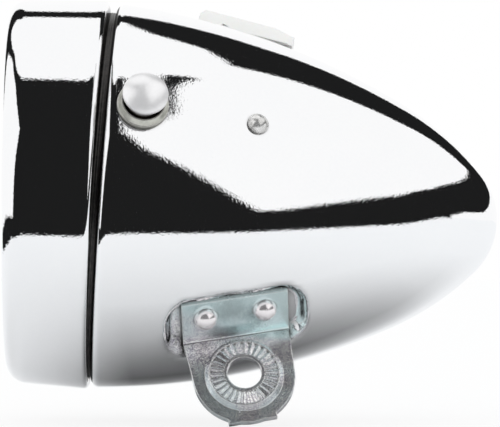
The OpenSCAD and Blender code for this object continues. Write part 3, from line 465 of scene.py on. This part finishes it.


# One finish for all metals and mouldings: a base colour that drifts, worn edges, fine scratches, a little unevenness
# and, where a seam shade colour is given, painted shade in gaps and hollows. Lengths are in metres, and scales are per
# metre
def finish(name, colour, drift=None, metallic=1.0, rough=0.05, roughDrift=0.03, patchScale=60.0, speckleScale=2500.0,
           speckleShare=0.3, edgeColour=None, edgeRadius=0.0003, edgeAmount=0.6, scratchRough=0.1, wave=0.0,
           waveScale=400.0, bump=0.0, coat=0.0, subsurface=0.0, seamShadeColour=None, seamShadeDepth=0.002, lower=None):
    mat, nodes, links = newMaterial(name)
    tree = mat.node_tree
    out = nodes.new("ShaderNodeOutputMaterial")
    skin = nodes.new("ShaderNodeBsdfPrincipled")
    skin.inputs["Metallic"].default_value = metallic
    skin.inputs["Coat Weight"].default_value = coat
    skin.inputs["Coat Roughness"].default_value = skinBase["coatRough"]
    skin.inputs["Subsurface Weight"].default_value = subsurface
    skin.inputs["Subsurface Scale"].default_value = skinBase["subsurfaceDepth"]
    place = nodes.new("ShaderNodeTexCoord")
    cloud = useGroup(nodes, "cloud", Patch_Scale=patchScale, Speckle_Scale=speckleScale, Speckle_Share=speckleShare)
    scratch = useGroup(nodes, "scratch")
    edge = useGroup(nodes, "edge", Radius=edgeRadius)
    for group in (cloud, scratch, edge):
        links.new(place.outputs["Object"], group.inputs["Vector"])
    drift = drift or tuple(c * skinBase["drift"] for c in colour)
    shades = addRamp(tree, [(skinBase["driftFrom"], drift), (skinBase["driftTo"], colour)])
    links.new(cloud.outputs["Value"], shades.inputs[0])
    mainShade = shades.outputs[0]
    if lower:
        mainShade = lowerTint(tree, place, shades, lower)
    worn = addNode(tree, "ShaderNodeMix", data_type="RGBA")  # its inputs 6 and 7 are the two colours
    worn.inputs[7].default_value = (*(edgeColour or colour), 1)
    amount = addNode(tree, "ShaderNodeMath", operation="MULTIPLY")
    amount.inputs[1].default_value = edgeAmount
    links.new(edge.outputs["Mask"], amount.inputs[0])
    links.new(amount.outputs[0], worn.inputs[0])
    links.new(mainShade, worn.inputs[6])
    shade = worn.outputs[2]
    # Painted shade: the base colour darkens towards the seam shade colour in gaps and hollows, by ambient occlusion
    if seamShadeColour:
        seam = useGroup(nodes, "seam", Depth=seamShadeDepth)
        seamShaded = addNode(tree, "ShaderNodeMix", data_type="RGBA")
        seamShaded.inputs[7].default_value = (*seamShadeColour, 1)
        links.new(seam.outputs["Mask"], seamShaded.inputs[0])
        links.new(shade, seamShaded.inputs[6])
        shade = seamShaded.outputs[2]
    links.new(shade, skin.inputs["Base Color"])
    base = addNode(tree, "ShaderNodeMath", operation="MULTIPLY_ADD")
    base.inputs[1].default_value = roughDrift
    base.inputs[2].default_value = rough
    links.new(cloud.outputs["Value"], base.inputs[0])
    hair = addNode(tree, "ShaderNodeMath", operation="MULTIPLY_ADD", use_clamp=True)
    hair.inputs[1].default_value = scratchRough
    links.new(scratch.outputs["Mask"], hair.inputs[0])
    links.new(base.outputs[0], hair.inputs[2])
    links.new(hair.outputs[0], skin.inputs["Roughness"])
    normal = edge.outputs["Normal"]
    if wave:
        ripple = addNode(tree, "ShaderNodeTexNoise", Scale=waveScale, Detail=2.0)
        swell = addNode(tree, "ShaderNodeBump", Strength=1.0, Distance=wave)
        links.new(place.outputs["Object"], ripple.inputs["Vector"])
        links.new(ripple.outputs["Fac"], swell.inputs["Height"])
        links.new(normal, swell.inputs["Normal"])
        normal = swell.outputs[0]
    if bump:
        grit = addNode(tree, "ShaderNodeBump", Strength=1.0, Distance=bump)
        links.new(cloud.outputs["Speckle"], grit.inputs["Height"])
        links.new(normal, grit.inputs["Normal"])
        normal = grit.outputs[0]
    links.new(normal, skin.inputs["Normal"])
    links.new(skin.outputs[0], out.inputs[0])
    return mat


def clearGlass(name, tint, scratchScale):
    mat, nodes, links = newMaterial(name)
    out = nodes.new("ShaderNodeOutputMaterial")
    skin = nodes.new("ShaderNodeBsdfPrincipled")
    skin.inputs["Transmission Weight"].default_value = 1
    skin.inputs["IOR"].default_value = glassBase["ior"]
    place = nodes.new("ShaderNodeTexCoord")
    scratch = useGroup(nodes, "scratch", Scale=scratchScale)
    cloud = useGroup(nodes, "cloud", Patch_Scale=glassBase["patchScale"], Speckle_Scale=glassBase["speckleScale"],
                     Speckle_Share=glassBase["speckleShare"])
    drift = tuple(c * glassBase["drift"] for c in tint)
    shades = addRamp(mat.node_tree, [(skinBase["driftFrom"], drift), (skinBase["driftTo"], tint)])
    level = addNode(mat.node_tree, "ShaderNodeMath", operation="MULTIPLY")
    level.inputs[1].default_value = glassBase["scratchRough"]
    links.new(place.outputs["Object"], scratch.inputs["Vector"])
    links.new(place.outputs["Object"], cloud.inputs["Vector"])
    links.new(cloud.outputs["Value"], shades.inputs[0])
    links.new(shades.outputs[0], skin.inputs["Base Color"])
    links.new(scratch.outputs["Mask"], level.inputs[0])
    links.new(level.outputs[0], skin.inputs["Roughness"])
    links.new(skin.outputs[0], out.inputs[0])
    return mat


# The chrome's seam shade colour is painted shade in the rim gap and in the pocket
chromeLook = dict(colour=(0.955, 0.958, 0.965), drift=(0.94, 0.945, 0.955), rough=0.02, roughDrift=0.02,
                  scratchRough=0.05, wave=0.0000075, waveScale=2300.0, edgeRadius=0.0002, edgeAmount=0.2,
                  seamShadeColour=(0.06, 0.055, 0.05), seamShadeDepth=0.0022)
# A seam shade colour in a finish paints shade into its gaps and hollows
finishes = {
    "chrome_shell": finish("chromeShell", **chromeLook),
    "chrome_rim": finish("chromeRim", **chromeLook),
    "zinc_plate": finish("zincPlate", (0.85, 1.0, 1.0), drift=(0.72, 0.87, 0.88), metallic=0.92, rough=0.16,
                         roughDrift=0.16, patchScale=260.0, speckleScale=4200.0, speckleShare=0.25,
                         edgeColour=(1.0, 1.0, 0.98), edgeAmount=0.9, scratchRough=0.12, wave=0.000006,
                         waveScale=3600.0, seamShadeColour=(0.07, 0.06, 0.05), seamShadeDepth=0.0007,
                         lower=dict(bottom=0.0074, top=0.0084, grain=4300.0, patch=150.0, dark=(0.42, 0.39, 0.47),
                                    light=(1.0, 1.0, 0.97))),
    "rivet_steel": finish("rivetAluminium", (1.0, 0.96, 0.965), drift=(0.93, 0.89, 0.90), metallic=0.75, rough=0.16,
                          roughDrift=0.08, patchScale=500.0, edgeRadius=0.0001, edgeAmount=0.2),
    "inner_steel": finish("plainSteel", (0.56, 0.57, 0.58), rough=0.28, roughDrift=0.15),
    "stud_metal": finish("studNickel", (0.90, 0.89, 0.88), drift=(0.6, 0.59, 0.57), metallic=0.7, rough=0.2,
                         roughDrift=0.1, patchScale=700.0, wave=0.00001, waveScale=1500.0),
    "collar_metal": finish("collarNickel", (0.74, 0.74, 0.67), drift=(0.58, 0.58, 0.52), metallic=0.7, rough=0.30,
                           roughDrift=0.15, patchScale=500.0, edgeColour=(1.0, 0.99, 0.95), edgeAmount=1.0,
                           seamShadeColour=(0.025, 0.017, 0.012), seamShadeDepth=0.0035),
    "spring_brass": finish("springBrass", (0.80, 0.60, 0.30), rough=0.25, roughDrift=0.1),
    "contact_brass": finish("contactBrass", (0.83, 0.64, 0.33), drift=(0.72, 0.52, 0.25), rough=0.22, roughDrift=0.15),
    "bulb_brass": finish("bulbBrass", (0.86, 0.70, 0.40), rough=0.18, roughDrift=0.1),
    "fibre_board": finish("fibreBoard", (0.30, 0.16, 0.09), drift=(0.22, 0.11, 0.06), metallic=0.0, rough=0.6,
                          roughDrift=0.2, bump=0.00001, edgeColour=(0.4, 0.25, 0.15)),
    "cradle_plastic": finish("cradleMoulding", (0.035, 0.035, 0.04), metallic=0.0, rough=0.45, roughDrift=0.15,
                             bump=0.000005, edgeColour=(0.10, 0.10, 0.10)),
    "cell_wrap": finish("cellSleeve", (0.06, 0.20, 0.17), drift=(0.05, 0.17, 0.145), metallic=0.0, rough=0.25,
                        roughDrift=0.1, coat=0.4),
    "gasket_rubber": finish("gasketRubber", (0.03, 0.03, 0.03), metallic=0.0, rough=0.75, roughDrift=0.15, bump=0.00001,
                            edgeColour=(0.06, 0.06, 0.06)),
    "lens_glass": clearGlass("lensGlass", (0.985, 0.995, 0.99), 700.0),
    "bulb_glass": clearGlass("bulbGlass", (0.99, 1.0, 1.0), 900.0),
    "reflector_mirror": finish("silveredReflector", (0.93, 0.93, 0.92), rough=0.03, roughDrift=0.04, wave=0.000006,
                               waveScale=600.0, scratchRough=0.06),
    "spring_wire": finish("springWire", (0.45, 0.45, 0.46), rough=0.3, roughDrift=0.15),
    "ivory_plastic": finish("ivoryMoulding", (0.97, 0.965, 0.94), drift=(0.95, 0.945, 0.91), metallic=0.0, rough=0.32,
                            roughDrift=0.12, edgeColour=(0.96, 0.955, 0.93), coat=0.15, subsurface=0.05,
                            bump=0.000002),
    "button_metal": finish("buttonAluminium", (0.95, 0.94, 0.94), drift=(0.90, 0.89, 0.89), metallic=0.45, rough=0.30,
                           roughDrift=0.1, patchScale=300.0, wave=0.00001, waveScale=500.0,
                           edgeColour=(0.98, 0.98, 0.97), edgeRadius=0.0002, seamShadeColour=(0.04, 0.03, 0.02)),
}
# Painted shade: the neck is painted dark where it shows in the gap under the rim's edge, so the gap reads dark
neckPaintedShade = finish("paintedNeckShade", (0.10, 0.095, 0.09), drift=(0.05, 0.05, 0.05), rough=0.30, roughDrift=0.2,
                  patchScale=900.0, wave=0.00001, waveScale=2500.0)
# Each piece from the CAD takes the finish of its slot
for part in frame["record"]["subparts"]:
    node = bpy.data.objects.get(part["node"])
    if node:
        if not node.material_slots:
            node.data.materials.append(None)
        for slot in node.material_slots:
            slot.material = finishes[part["material_slot"]]
print("finishes set:", len(finishes))


# Spun pieces
joinWithin = 2e-6  # ends of a spin nearer than this are one
seedSize = 0.1 * mm  # plane that is merged to a profile's first point


def profileOf(points, angle):
    # Points of (place along the lamp, radius) as positions in the plane at that angle round the lamp's axis
    side = Vector((0, math.cos(angle), math.sin(angle)))
    return [lamp["origin"] + alongLamp * x + side * r for x, r in points]


def drawProfile(name, points):
    # One vertex, extruded from point to point
    deselectAll()
    bpy.ops.mesh.primitive_plane_add(size=seedSize, location=points[0])
    obj = bpy.context.object
    obj.name = name
    bpy.ops.object.transform_apply(location=True, rotation=True, scale=True)
    bpy.ops.object.mode_set(mode="EDIT")
    bpy.ops.mesh.select_all(action="SELECT")
    bpy.ops.mesh.merge(type="CENTER")
    for start, end in zip(points, points[1:]):
        bpy.ops.mesh.extrude_region_move(TRANSFORM_OT_translate={"value": end - start})
    bpy.ops.mesh.select_all(action="SELECT")
    return obj


def spin(steps, angle):
    bpy.ops.mesh.spin(steps=steps, angle=angle, center=lamp["origin"], axis=alongLamp)


def closeMesh(smooth):
    bpy.ops.mesh.select_all(action="SELECT")
    bpy.ops.mesh.remove_doubles(threshold=joinWithin)
    bpy.ops.mesh.normals_make_consistent(inside=False)
    bpy.ops.object.mode_set(mode="OBJECT")
    bpy.ops.object.shade_smooth_by_angle(angle=math.radians(smooth))


def arcPoints(x, r, radius, start, stop, count):
    # Angles in degrees from square outwards, growing towards the nose
    turns = [math.radians(start + (stop - start) * i / count) for i in range(count + 1)]
    return [(x + radius * math.sin(a), r + radius * math.cos(a)) for a in turns]


def upShare(p):
    # 0 at the lamp's underside, 1 at its top
    return 0.5 + 0.5 * math.sin(math.atan2(p.z, p.y))


# The shell's side, nose and tip: three arcs that run smoothly into each other, as in the CAD
noseX = lamp["tipX"] - lamp["noseLen"]
sideDrop = lamp["shellR"] - lamp["noseR"]
sideArc = ((noseX - lamp["sideX"]) ** 2 + sideDrop ** 2) / (2 * sideDrop)
sideC = lamp["shellR"] - sideArc
normX, normR = (noseX - lamp["sideX"]) / sideArc, (lamp["noseR"] - sideC) / sideArc
noseAhead = lamp["noseLen"] - lamp["tipR"]
noseSquares = noseAhead ** 2 + lamp["noseR"] ** 2 - lamp["tipR"] ** 2
noseArc = noseSquares / (2 * (normR * lamp["noseR"] - normX * noseAhead - lamp["tipR"]))
noseArcX, noseArcC = noseX - noseArc * normX, lamp["noseR"] - noseArc * normR
noseAngle = math.degrees(math.asin(normX))
tipAngle = math.degrees(math.atan2(lamp["tipX"] - lamp["tipR"] - noseArcX, -noseArcC))


def sideR(x):
    return sideC + math.sqrt(sideArc ** 2 - (x - lamp["sideX"]) ** 2)


def sideSlope(x):
    return math.asin((x - lamp["sideX"]) / sideArc)


# The bracket's flange and the pocket pressed into the shell behind it. Reach is how far from the flange it works
pocket = {"bendUp": 8.1 * mm, "plateFace": 0.55 * mm, "slope": 18, "flangeX": 43.9 * mm, "halfLength": 12 * mm,
          "halfWidth": 6.15 * mm, "middle": 4.65 * mm, "corner": 4.2 * mm, "floor": -1.36 * mm, "lean": 1.3 / 3.8,
          "floorRound": 1.1 * mm, "mouthRound": 1.7 * mm, "skin": 0.02 * mm,
          "reach": Vector((20, 16, 12)) * mm}
flangeFrame = (Matrix.Rotation(-sideSlope(pocket["flangeX"]), 4, "Y")
               @ Matrix.Translation((0, pocket["plateFace"], pocket["bendUp"]))
               @ Matrix.Rotation(math.radians(180 - pocket["slope"]), 4, "X"))


def pressPocket(obj, spec):
    # On the flange: x along the bend, y from the bend to the flange's edge, z out of its face. Tray is how high the
    # pressed surface lies, and the mouth is rounded where it meets the shell
    back = flangeFrame.inverted()
    reach = spec["reach"]
    for v in obj.data.vertices:
        p = back @ v.co
        if p.z < -reach.z or abs(p.x) > reach.x or abs(p.y - spec["middle"]) > reach.y:
            continue
        outX = abs(p.x) - (spec["halfLength"] - spec["corner"])
        outY = abs(p.y - spec["middle"]) - (spec["halfWidth"] - spec["corner"])
        beyond = math.hypot(max(outX, 0), max(outY, 0)) + min(max(outX, outY), 0) - spec["corner"]
        climb = beyond / spec["lean"]
        tray = spec["floor"] + 0.5 * (climb + math.sqrt(climb ** 2 + spec["floorRound"] ** 2)) - spec["skin"]
        blend = max(spec["mouthRound"] - abs(tray - p.z), 0) / spec["mouthRound"]
        p.z = min(tray, p.z) - blend ** 2 * spec["mouthRound"] / 4
        v.co = flangeFrame @ p


neck = {"lengthShares": (1, 0.8, 0.6, 0.4, 0.25), "rings": (16.9 * mm, 17.35 * mm, 17.8 * mm), "ringR": 0.14 * mm,
        "ringDip": 0.03 * mm, "ringAngle": 60, "ringSteps": 4, "shadeTo": 0.25 * mm, "shadeIn": 0.4 * mm}
# Denser rings of points where the pocket is, and denser steps round the axis over its half angle
shellMesh = {"edgeTo": -6, "edgeSteps": 10, "afterEdge": 0.4 * mm, "step": 0.9 * mm, "denseFrom": 28.0 * mm,
             "denseTo": 59.5 * mm, "denseStep": 0.32 * mm, "beforeNose": 0.3 * mm, "noseSteps": 18, "tipSteps": 12,
             "pocketHalf": 21, "pocketSteps": 72, "restSteps": 140, "smooth": 50}
# The seam's two edges stand nearer each other at the lamp's top
seamClose = {"rimReach": 0.40 * mm, "shellReach": 0.35 * mm, "fadeFrom": 24 * mm, "fadeOver": 4 * mm,
             "offNeck": 0.02 * mm, "offEdge": 0.05 * mm}


def shellProfile(mesh):
    edgeX = lamp["shellX"] + lamp["edgeR"]
    points = [(lamp["shellX"] - lamp["neckLen"] * share, lamp["neckR"]) for share in neck["lengthShares"]]
    for ring in neck["rings"]:
        points += arcPoints(ring, lamp["neckR"] - neck["ringDip"], neck["ringR"], -neck["ringAngle"],
                            neck["ringAngle"], neck["ringSteps"])
    points += [(lamp["shellX"], lamp["neckR"])]
    points += arcPoints(edgeX, sideR(edgeX) - lamp["edgeR"], lamp["edgeR"], -90, mesh["edgeTo"], mesh["edgeSteps"])
    x = edgeX + mesh["afterEdge"]
    while x < noseX - mesh["beforeNose"]:
        points.append((x, sideR(x)))
        x += mesh["denseStep"] if mesh["denseFrom"] < x < mesh["denseTo"] else mesh["step"]
    points += arcPoints(noseArcX, noseArcC, noseArc, noseAngle, tipAngle, mesh["noseSteps"])
    points += arcPoints(lamp["tipX"] - lamp["tipR"], 0, lamp["tipR"], tipAngle, 90, mesh["tipSteps"])[1:]
    return points


def closeShellEdge(shell):
    for v in shell.data.vertices:
        p = v.co - lamp["origin"]
        onEdge = p.x > lamp["shellX"] - seamClose["offEdge"] and p.x < seamClose["fadeFrom"]
        if onEdge and math.hypot(p.y, p.z) > lamp["neckR"] + seamClose["offNeck"]:
            fade = min((seamClose["fadeFrom"] - p.x) / seamClose["fadeOver"], 1)
            v.co.x -= seamClose["shellReach"] * upShare(p) * fade


def makeShell(mesh):
    middle = flangeFrame @ Vector((0, pocket["middle"], 0)) - lamp["origin"]
    half = math.radians(mesh["pocketHalf"])
    shell = drawProfile("shellSkin", profileOf(shellProfile(mesh), math.atan2(middle.z, middle.y) - half))
    spin(mesh["pocketSteps"], 2 * half)
    spin(mesh["restSteps"], 2 * math.pi - 2 * half)
    closeMesh(mesh["smooth"])
    closeShellEdge(shell)
    pressPocket(shell, pocket)
    wall = shell.modifiers.new("wall", "SOLIDIFY")
    wall.thickness = lamp["wall"]
    wall.offset = -1
    bpy.ops.object.modifier_apply(modifier="wall")
    shell.data.materials.append(finishes["chrome_shell"])
    # The neck's faces next to the shell's edge take the painted shade
    shell.data.materials.append(neckPaintedShade)
    for face in shell.data.polygons:
        c = face.center - lamp["origin"]
        if c.x < lamp["shellX"] + neck["shadeTo"] and math.hypot(c.y, c.z) > lamp["neckR"] - neck["shadeIn"]:
            face.material_index = 1
    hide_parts("shell")
    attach(shell, "housing")


# The rim's lip is flat with two rounded edges; its front slants and the whole rim sits askew on the neck
rimSizes = {"length": 16.8 * mm, "radius": 36.03 * mm, "frontR": 35.53 * mm, "corner": 3.8 * mm, "lip": 1.5 * mm,
            "lipRound": 0.25 * mm, "lipBreak": 0.07 * mm, "landEnd": 0.3 * mm, "wall": 0.7 * mm, "bead": 0.95 * mm,
            "beadTurn": 235, "beadTail": 1.1 * mm, "tailIn": 0.02 * mm, "slant": 2.69, "skew": 1.5, "skewSide": 30}
rimMesh = {"cornerSteps": 18, "sideSteps": 10, "beadSteps": 20, "innerSteps": 12, "roundSteps": 216, "smooth": 35}


def rimProfile(s, mesh):
    beadX = s["length"] - s["bead"]
    land = s["frontR"] - s["corner"]
    hole = land - s["lip"]
    points = [(s["wall"], hole), (s["lipRound"], hole), (s["lipBreak"], hole + s["lipBreak"]),
              (0, hole + s["lipRound"]), (0, land - s["landEnd"])]
    points += arcPoints(s["corner"], land, s["corner"], -90, 0, mesh["cornerSteps"])
    for i in range(1, mesh["sideSteps"]):
        share = i / mesh["sideSteps"]
        points.append((s["corner"] + (beadX - s["corner"]) * share,
                       s["frontR"] + (s["radius"] - s["frontR"]) * share))
    points += arcPoints(beadX, s["radius"] - s["bead"], s["bead"], 0, s["beadTurn"], mesh["beadSteps"])
    points += [(beadX - s["beadTail"], s["radius"] - s["wall"] - s["tailIn"])]
    points += arcPoints(s["corner"], land, s["corner"] - s["wall"], 0, -90, mesh["innerSteps"])
    return points + [points[0]]


def makeRim(s, mesh):
    rim = drawProfile("rimSkin", profileOf(rimProfile(s, mesh), 0.0))
    spin(mesh["roundSteps"], 2 * math.pi)
    closeMesh(mesh["smooth"])
    beadX = s["length"] - s["bead"]
    slant = math.tan(math.radians(s["slant"]))
    pivot = lamp["origin"] + alongLamp * beadX
    side = math.radians(s["skewSide"])
    skew = Matrix.Rotation(math.radians(s["skew"]), 4, Vector((0, -math.cos(side), -math.sin(side))))
    for v in rim.data.vertices:
        p = v.co - lamp["origin"]
        ahead = min(max((beadX - p.x) / (beadX - s["corner"]), 0), 1)
        v.co.x += seamClose["rimReach"] * upShare(p) * (1 - ahead) - slant * p.z * ahead
        v.co = pivot + skew @ (v.co - pivot)
    rim.data.update()
    rim.data.materials.append(finishes["chrome_rim"])
    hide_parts("rim")
    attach(rim, "rim_unit")


rivetHeads = {"fromMiddle": 5.4 * mm, "fromBend": 5.8 * mm, "radius": 2.2 * mm, "height": 1.95 * mm,
              "sunk": 0.3 * mm, "segments": 48, "rings": 24, "smooth": 40}


def makeRivetHeads(spec):
    # Full round heads over the flatter ones of the frame, with their feet in the plate
    deselectAll()
    bpy.ops.mesh.primitive_uv_sphere_add(segments=spec["segments"], ring_count=spec["rings"], radius=spec["radius"])
    front = bpy.context.object
    bpy.ops.object.mode_set(mode="EDIT")
    bpy.ops.mesh.select_all(action="SELECT")
    bpy.ops.mesh.bisect(plane_co=(0, 0, 0), plane_no=(0, 0, 1), clear_inner=True, use_fill=False)
    bpy.ops.transform.resize(value=(1, 1, spec["height"] / spec["radius"]))
    bpy.ops.mesh.select_all(action="DESELECT")
    bpy.ops.mesh.select_mode(type="EDGE")
    bpy.ops.mesh.select_non_manifold()
    bpy.ops.mesh.extrude_edges_move(TRANSFORM_OT_translate={"value": (0, 0, -spec["sunk"])})
    bpy.ops.mesh.edge_face_add()
    closeMesh(spec["smooth"])
    rear = front.copy()
    rear.data = front.data.copy()
    scene.collection.objects.link(rear)
    for rivet, name, side in ((front, "rivetHeadFront", -1), (rear, "rivetHeadRear", 1)):
        rivet.name = name
        place = Matrix.Translation((side * spec["fromMiddle"], spec["fromBend"], 0))
        rivet.data.transform(flangeFrame @ place)
        rivet.data.materials.append(finishes["rivet_steel"])
        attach(rivet, "housing")


makeShell(shellMesh)
print("shell made")
makeRim(rimSizes, rimMesh)
print("rim made")
makeRivetHeads(rivetHeads)
print("rivet heads made")
